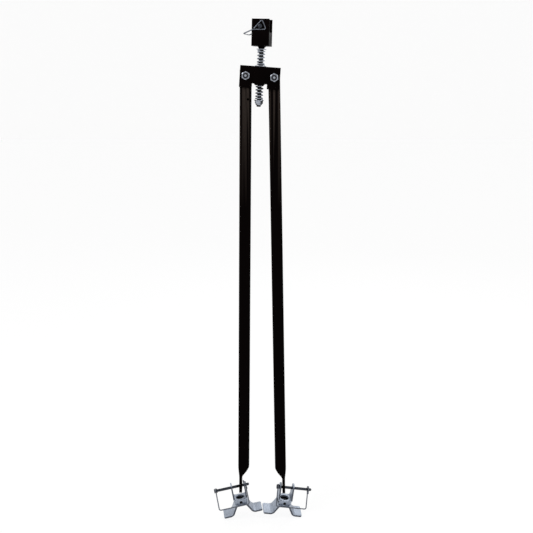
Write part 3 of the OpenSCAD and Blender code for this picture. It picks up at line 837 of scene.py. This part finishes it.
def build_pivots():
    for name, side in SIDES:
        front = at_pivot(side) @ move(y=-BRACKET_DEPTH / 2)
        spin = 0 if side == LEFT else 8
        rear = at_pivot(side) @ move(y=BRACKET_DEPTH / 2)
        length = BRACKET_DEPTH + WASHER_T + NUT_H + 1.2
        screw = hex_bolt(f"{name}_pivot_screw", length, 18)
        # Painted shade: the thread is drawn dark. The flat middle of its end is left bright
        # as a painted highlight
        trim(screw, "bright_steel", "black_steel", lambda c, n: c.z < -20 and not (
            n.z < -0.99 and c.xy.length < 1))
        placed(screw, rear @ move(y=WASHER_T) @ turn("X", -90),
               "bracket", "bright_steel", f"{name}_pivot_bolt")
        disc = washer(f"{name}_pivot_plate", WASHER_R)
        smooth(disc, 30)
        placed(disc, rear @ turn("X", -90), "bracket", "bright_steel",
               f"{name}_pivot_washer")
        place = front @ turn("X", 90) @ turn("Z", spin)
        placed(lock_nut_shell(f"{name}_pivot_nut"), place, "bracket", "bright_steel",
               f"{name}_pivot_locknut")
        placed(nylon_ring(f"{name}_pivot_nylon"), place, "bracket", "dark_nylon",
               f"{name}_pivot_insert")


def build_legs():
    w = bpy.context.scene.tow_bar_sizes.leg_width / MM
    h = w / 2
    tube_end = LEG_L - FLAT_UP - TAPER_L
    for name, side in SIDES:
        leg = block(f"{name}_leg_tube", (-h, h), (-h, h), (-tube_end, LEG_TOP))
        # The flattened end: the tube is squeezed to a strip and spread sideways
        steps = ((0.16, 0.03), (0.5, 0.36), (0.84, 0.88), (1.0, 1.0))
        edit(leg, lambda *p: max(v.z for v in p) < -tube_end * MM + 1e-5)
        done_z, size_x, size_y, shift = tube_end, w, w, 0.0
        for part, share in steps:
            z = tube_end + TAPER_L * part
            new_x = w + (FLAT_T - w) * share
            new_y = w + (FLAT_W - w) * share
            new_shift = side * FLAT_SHIFT * share
            bpy.ops.mesh.extrude_region_move(TRANSFORM_OT_translate={
                "value": ((new_shift - shift) * MM, 0, (done_z - z) * MM)})
            bpy.ops.transform.resize(value=(new_x / size_x, new_y / size_y, 1),
                                     center_override=(new_shift * MM, 0, -z * MM))
            done_z, size_x, size_y, shift = z, new_x, new_y, new_shift
        bpy.ops.mesh.extrude_region_move(TRANSFORM_OT_translate={
            "value": (0, 0, -(FLAT_UP + FLAT_DOWN[side]) * MM)})
        leave_edit()
        # Rounded tip of the strip, seen from the side
        bevel_edges(leg, lambda a, b: max(a.z, b.z) < -(LEG_L + 5) * MM
                    and abs(a.x - b.x) > 0.002, 12, 8)
        # Rounded corners all the way along
        bevel_edges(leg, lambda a, b: abs(a.z - b.z) > 0.001 and abs(a.y) > 0.01
                    and abs(b.y) > 0.01 and min(a.z, b.z) > -(LEG_L + 2) * MM, 2.4, 5)
        inner = h - 2.0
        bore = block("bore", (-inner, inner), (-inner, inner), (2 - tube_end, LEG_TOP + 5))
        bevel_edges(bore, lambda a, b: abs(a.z - b.z) > 0.01, 1, 2)
        cut(leg, bore, rod("pivot_hole", BOLT_R + 0.15, 60, axis="Y"),
            rod("pin_hole", LOCK_PIN_R + 1.6, 40, (side * FLAT_SHIFT, 0, -LEG_L), "X"))
        if side == LEFT:
            cut(leg, rod("small_hole", LEG_HOLE_R, 6, (LEG_HOLE_X, -h, LEG_HOLE_Z), "Y"))
        soften(leg, 0.4, 2, 45)
        placed(leg, in_leg(side), f"{name}_leg", "leg_coat_with_painted_reflection", f"{name}_leg")


def build_clevises():
    w, d = CLEVIS_W / 2, CLEVIS_D / 2
    for name, side in SIDES:
        # Bent sheet: two ears that rise from a floor
        low = FLOOR_Z - EAR_T
        yoke = block(f"{name}_clevis_yoke", (-w, w), (-d, d), (low, EAR_R))
        bevel_edges(yoke, lambda a, b: abs(a.y - b.y) > 0.01 and max(a.z, b.z) < 0, 6.5, 8)
        edit(yoke, lambda *p: len({round(v.y, 6) for v in p}) == 1
             or min(v.z for v in p) > 0.005)
        bpy.ops.mesh.delete(type="FACE")
        leave_edit()
        modify(yoke, "SOLIDIFY", thickness=EAR_T * MM, offset=-1, use_even_offset=True)
        # Narrow the ears to their rounded tips
        mask = rod("mask", EAR_R, CLEVIS_W + 10, axis="X", sides=64)
        skirt = block("mask_skirt", (-w - 5, w + 5), (-d, d), (low - 5, FLOOR_Z + 4))
        edit(skirt, lambda *p: min(v.z for v in p) > (FLOOR_Z + 3.9) * MM)
        bpy.ops.mesh.extrude_region_move(TRANSFORM_OT_translate={
            "value": (0, 0, -(FLOOR_Z + 4 - 2.2) * MM)})
        bpy.ops.transform.resize(value=(1, 10.25 / d, 1), center_override=(0, 0, 0))
        leave_edit()
        modify(mask, "BOOLEAN", object=skirt, operation="UNION", solver="EXACT")
        bpy.data.objects.remove(skirt, do_unlink=True)
        cut(yoke, mask, how="INTERSECT")
        cut(yoke, rod("pin_hole", LOCK_PIN_R + 0.15, CLEVIS_W + 10, axis="X"),
            rod("access", ACCESS_R, 20, (0, 0, FLOOR_Z)))
        # Dark edges on the ears only
        trim(yoke, "zinc", "sheared_edge",
             lambda c, n: abs(n.y) > 0.8 and c.z > FLOOR_Z + 3)
        soften(yoke, 0.35, 2, 40)
        # Short rectangular tube welded under the floor, open at both sides
        riser = block(f"{name}_clevis_riser", (-w + 1.5, w - 1.5), (-d + 0.6, d - 0.6),
                      (SKIRT_Z, low + 0.05))
        bevel_edges(riser, lambda a, b: abs(a.x - b.x) > 0.01, 2.2, 4)
        hollow = block("hollow", (-w - 5, w + 5), (-d + EAR_T, d - EAR_T),
                       (SKIRT_Z + SEAT_T, low - RISER_ROOF_T))
        cut(riser, hollow, rod("access", ACCESS_R, 8, (0, 0, low)),
            rod("front_hole", FRONT_HOLE_R, 8, (0, -d + 2, FRONT_HOLE_Z), "Y"),
            rod("bolt_hole", 4.3, 8, (0, 0, SKIRT_Z)))
        # Painted shade: black inside, and in the front hole
        trim(riser, "zinc", "black_steel", lambda c, n: (
            abs(c.y) < d - EAR_T + 0.1
            and SKIRT_Z + SEAT_T - 0.1 < c.z < low - RISER_ROOF_T + 0.1)
            or (math.hypot(c.x, c.z - FRONT_HOLE_Z) < FRONT_HOLE_R + 0.1
                and 0.7 - d < c.y < 7 - d))
        soften(riser, 0.3, 2, 40)
        clevis = joined(f"{name}_clevis", yoke, riser)
        placed(clevis, in_foot(side), f"{name}_foot", "zinc", f"{name}_foot_clevis")


def build_straps():
    w = bpy.context.scene.tow_bar_sizes.strap_width / MM / 2
    tab, top = w - TAB_L, CLEVIS_W / 2 - 3.5
    route = [(-w, TAB_Z), (-tab, TAB_Z), (-top, SKIRT_Z), (top, SKIRT_Z), (tab, TAB_Z),
             (w, TAB_Z)]
    for name, side in SIDES:
        # One edge drawn out along the strip's profile, then bent, cut and thickened
        bpy.ops.object.select_all(action="DESELECT")
        bpy.ops.mesh.primitive_plane_add(
            size=1, location=((route[0][0] + route[1][0]) / 2 * MM, 0, TAB_Z * MM))
        strap = started(f"{name}_foot_hat_strap")
        strap.scale = (TAB_L * MM, STRAP_D * MM, 1)
        bpy.ops.object.transform_apply(location=True, rotation=True, scale=True)
        edit(strap, lambda a, b: min(a.x, b.x) > (route[1][0] - 0.1) * MM, "EDGE")
        for (x0, z0), (x1, z1) in zip(route[1:], route[2:]):
            bpy.ops.mesh.extrude_region_move(TRANSFORM_OT_translate={
                "value": ((x1 - x0) * MM, 0, (z1 - z0) * MM)})
        leave_edit()
        # The tops of the upper bends are tighter than the feet of the slopes
        bevel_edges(strap, lambda a, b: abs(abs(a.x) - tab * MM) < 1e-5
                    and abs(a.x - b.x) < 1e-6, 5, 6)
        bevel_edges(strap, lambda a, b: abs(abs(a.x) - top * MM) < 1e-5
                    and abs(a.x - b.x) < 1e-6, 4, 6)
        edit(strap)
        bpy.ops.mesh.select_all(action="SELECT")
        bpy.ops.mesh.normals_make_consistent(inside=False)
        leave_edit()
        if strap.data.polygons[0].normal.z < 0:
            edit(strap)
            bpy.ops.mesh.select_all(action="SELECT")
            bpy.ops.mesh.flip_normals()
            leave_edit()
        modify(strap, "SOLIDIFY", thickness=STRAP_T * MM, offset=-1, use_even_offset=True)
        bevel_edges(strap, lambda a, b: min(abs(a.x), abs(b.x)) > (w - 0.1) * MM
                    and abs(a.z - b.z) > 0.002, 3.5, 5)
        cut(strap, rod("bolt_hole", 4.3, 20, (0, 0, SKIRT_Z)))
        trim(strap, "zinc", "sheared_edge", lambda c, n: abs(n.y) > 0.8)
        soften(strap, 0.45, 3, 40)
        placed(strap, in_foot(side), f"{name}_foot", "zinc", f"{name}_foot_strap")


def build_foot_bolts():
    seat = SKIRT_Z + SEAT_T
    for name, side in SIDES:
        screw = turned(f"{name}_foot_screw", [
            (3.0, seat + 3.4), (3.4, seat + 3.4), (5.2, seat + 3.2), (6.6, seat + 2.4),
            (7.3, seat + 1.1), (7.4, seat + 0.2), (7.2, seat), (4.0, seat), (4.0, seat - 0.6)]
            + threaded(seat - 6.4, seat - 14.9, FOOT_BOLT_R, 1.25))
        cut(screw, rod("socket", 2.9, 4, (0, 0, seat + 3.6), sides=6))
        smooth(screw, 30)
        # The black screw head also stands as painted shade under the access hole
        placed(screw, in_foot(side), f"{name}_foot", "black_steel", f"{name}_foot_bolt")
        nut = hexagon(f"{name}_foot_hex_nut", FOOT_NUT_AF, FOOT_NUT_H, True)
        cut(nut, rod("bore", 4.06, 20))
        placed(nut, in_foot(side) @ move(z=SKIRT_Z - STRAP_T - FOOT_NUT_H), f"{name}_foot",
               "bright_steel", f"{name}_foot_nut")


def build_lock_pins():
    grown = bpy.context.scene.tow_bar_sizes.latch_wire / MM / 2 - FRAME_WIRE_R
    for name, side in SIDES:
        place = in_foot(side) @ move(x=PIN_X[side])
        placed(turned_pin(f"{name}_lock_pin_turned", LOCK_PIN_R, LOCK_PIN_L), place,
               f"{name}_pin", "pin_steel", f"{name}_lock_pin")
        # The loop keeps the frame's room beside the ear when the pin slides
        placed(latch_wire(f"{name}_latch_wire", LOCK_PIN_R, BAIL_SPAN + grown, BAIL_DROP),
               place @ turn("X", -BAIL_ANGLE), f"{name}_pin_wire", "latch_wire",
               f"{name}_lock_bail")


def white_to_sight(tree, lit, white, share, output):
    """Shows white to the camera, to gloss and through glass; lights by the lit shader."""
    path = add_node(tree, "ShaderNodeLightPath")
    seen = add_node(tree, "ShaderNodeMath", {"operation": "MAXIMUM"},
                    {0: path.outputs["Is Camera Ray"], 1: path.outputs["Is Glossy Ray"]})
    seen = add_node(tree, "ShaderNodeMath", {"operation": "MAXIMUM"},
                    {0: seen.outputs["Value"], 1: path.outputs["Is Transmission Ray"]})
    seen = add_node(tree, "ShaderNodeMath", {"operation": "MULTIPLY", 1: share},
                    {0: seen.outputs["Value"]})
    mix = add_node(tree, "ShaderNodeMixShader", {},
                   {0: seen.outputs["Value"], 1: lit, 2: white})
    tree.links.new(mix.outputs["Shader"], output.inputs["Surface"])


def build_stage():
    """Pale floor and backdrop, soft lamps and the camera."""
    scene = bpy.context.scene
    low = CAD_BOUNDS[0][2]
    bpy.ops.object.select_all(action="DESELECT")
    bpy.ops.mesh.primitive_plane_add(size=24, location=(0, 2, low - 0.002))
    floor = started("studio_floor")
    edit(floor, lambda a, b: min(a.y, b.y) > 5, "EDGE")
    bpy.ops.mesh.extrude_region_move(TRANSFORM_OT_translate={"value": (0, 0, 12)})
    leave_edit()
    material, tree, surface = new_material(
        "white_paper_sweep", Base_Color=(0.9, 0.9, 0.9, 1), Roughness=0.9)
    # White to the eye, with enough of the lit paper left to keep the object's shadow
    glow = add_node(tree, "ShaderNodeEmission", {"Color": (1, 1, 1, 1), "Strength": 1.1})
    white_to_sight(tree, surface.outputs["BSDF"], glow.outputs["Emission"], 0.8,
                   tree.nodes["Material Output"])
    floor.data.materials.append(material)

    world = bpy.data.worlds.new("studio_air")
    scene.world = world
    world.use_nodes = True
    tree = world.node_tree
    air = tree.nodes["Background"]
    air.inputs["Color"].default_value = (1, 1, 1, 1)
    air.inputs["Strength"].default_value = 0.5
    white = add_node(tree, "ShaderNodeBackground", {"Color": (1, 1, 1, 1), "Strength": 1.0})
    white_to_sight(tree, air.outputs["Background"], white.outputs["Background"], 1.0,
                   tree.nodes["World Output"])

    middle = Vector((0.0092, 0, -0.5111))
    for name, where, size, power in (
            ("key_softbox", (-1.6, -1.4, 1.2), (1.2, 1.2), 22),
            ("fill_softbox", (1.9, -1.2, 0.2), (1.0, 1.8), 6),
            ("rear_softbox", (0.6, 2.2, 0.9), (1.6, 1.2), 10)):
        bpy.ops.object.light_add(type="AREA", location=where)
        lamp = bpy.context.active_object
        lamp.name = name
        lamp.data.shape = "RECTANGLE"
        lamp.data.size, lamp.data.size_y = size
        lamp.data.energy = power
        aim = (middle - Vector(where)).to_track_quat("-Z", "Y")
        lamp.rotation_euler = aim.to_euler()

    bpy.ops.object.camera_add(location=(0.0092, -1.9599, -0.1124),
                              rotation=(math.radians(78.5), 0, 0))
    camera = bpy.context.active_object
    camera.name = "studio_camera"
    camera.data.lens = 61.4
    camera.data.sensor_width = 36
    camera.data.clip_end = 60
    scene.camera = camera
    scene.view_settings.view_transform = "Standard"


# ---------------------------------------------------------------- operators and panel

class TowBarOperator:
    """What every operator of the tow bar shares."""

    bl_options = {"REGISTER", "UNDO"}

    def execute(self, context):
        self.build()
        return {"FINISHED"}


class TOWBAR_OT_head(TowBarOperator, bpy.types.Operator):
    """Hitch head and its welded collar"""

    bl_idname = "tow_bar.head"
    bl_label = "Hitch head"
    build = staticmethod(build_head)


class TOWBAR_OT_hitch_pin(TowBarOperator, bpy.types.Operator):
    """Hitch pin and its latch wire"""

    bl_idname = "tow_bar.hitch_pin"
    bl_label = "Hitch pin"
    build = staticmethod(build_hitch_pin)


class TOWBAR_OT_swivel_bolt(TowBarOperator, bpy.types.Operator):
    """Swivel bolt with its washers and lock nut"""

    bl_idname = "tow_bar.swivel_bolt"
    bl_label = "Swivel bolt"
    build = staticmethod(build_swivel_bolt)


class TOWBAR_OT_springs(TowBarOperator, bpy.types.Operator):
    """The two cushion springs"""

    bl_idname = "tow_bar.springs"
    bl_label = "Cushion springs"
    build = staticmethod(build_springs)


class TOWBAR_OT_bracket(TowBarOperator, bpy.types.Operator):
    """Folded pivot bracket"""

    bl_idname = "tow_bar.bracket"
    bl_label = "Pivot bracket"
    build = staticmethod(build_bracket)


class TOWBAR_OT_pivots(TowBarOperator, bpy.types.Operator):
    """Pivot bolts, washers and lock nuts of the legs"""

    bl_idname = "tow_bar.pivots"
    bl_label = "Leg pivots"
    build = staticmethod(build_pivots)


class TOWBAR_OT_legs(TowBarOperator, bpy.types.Operator):
    """The two tube legs with their flattened ends"""

    bl_idname = "tow_bar.legs"
    bl_label = "Legs"
    build = staticmethod(build_legs)


class TOWBAR_OT_clevises(TowBarOperator, bpy.types.Operator):
    """The two foot clevises"""

    bl_idname = "tow_bar.clevises"
    bl_label = "Foot clevises"
    build = staticmethod(build_clevises)


class TOWBAR_OT_straps(TowBarOperator, bpy.types.Operator):
    """The hat-shaped straps under the clevises"""

    bl_idname = "tow_bar.straps"
    bl_label = "Foot straps"
    build = staticmethod(build_straps)


class TOWBAR_OT_foot_bolts(TowBarOperator, bpy.types.Operator):
    """Bolts and nuts that clamp the clevises to their straps"""

    bl_idname = "tow_bar.foot_bolts"
    bl_label = "Foot bolts"
    build = staticmethod(build_foot_bolts)


class TOWBAR_OT_lock_pins(TowBarOperator, bpy.types.Operator):
    """Foot lock pins and their latch wires"""

    bl_idname = "tow_bar.lock_pins"
    bl_label = "Foot lock pins"
    build = staticmethod(build_lock_pins)


class TOWBAR_OT_stage(TowBarOperator, bpy.types.Operator):
    """Floor, backdrop, lamps and camera"""

    bl_idname = "tow_bar.stage"
    bl_label = "Studio"
    build = staticmethod(build_stage)


OPERATORS = (
    TOWBAR_OT_head, TOWBAR_OT_hitch_pin, TOWBAR_OT_swivel_bolt, TOWBAR_OT_springs,
    TOWBAR_OT_bracket, TOWBAR_OT_pivots, TOWBAR_OT_legs, TOWBAR_OT_clevises,
    TOWBAR_OT_straps, TOWBAR_OT_foot_bolts, TOWBAR_OT_lock_pins, TOWBAR_OT_stage,
)


class TOWBAR_PT_panel(bpy.types.Panel):
    """Sizes, colours and pieces of the tow bar"""

    bl_label = "Tow bar"
    bl_idname = "TOWBAR_PT_panel"
    bl_space_type = "VIEW_3D"
    bl_region_type = "UI"
    bl_category = "Tow bar"

    def draw(self, context):
        layout = self.layout
        for group in (context.scene.tow_bar_sizes, context.scene.tow_bar_colours):
            for key in group.__annotations__:
                layout.prop(group, key)
        for operator in OPERATORS:
            layout.operator(operator.bl_idname)


CLASSES = (TowBarSizes, TowBarColours, *OPERATORS, TOWBAR_PT_panel)


def register():
    for cls in CLASSES:
        bpy.utils.register_class(cls)
    bpy.types.Scene.tow_bar_sizes = bpy.props.PointerProperty(type=TowBarSizes)
    bpy.types.Scene.tow_bar_colours = bpy.props.PointerProperty(type=TowBarColours)


def unregister():
    del bpy.types.Scene.tow_bar_sizes
    del bpy.types.Scene.tow_bar_colours
    for cls in reversed(CLASSES):
        bpy.utils.unregister_class(cls)


def main():
    register()
    for operator in OPERATORS:
        group, name = operator.bl_idname.split(".")
        getattr(getattr(bpy.ops, group), name)()


if __name__ == "__main__":
    main()
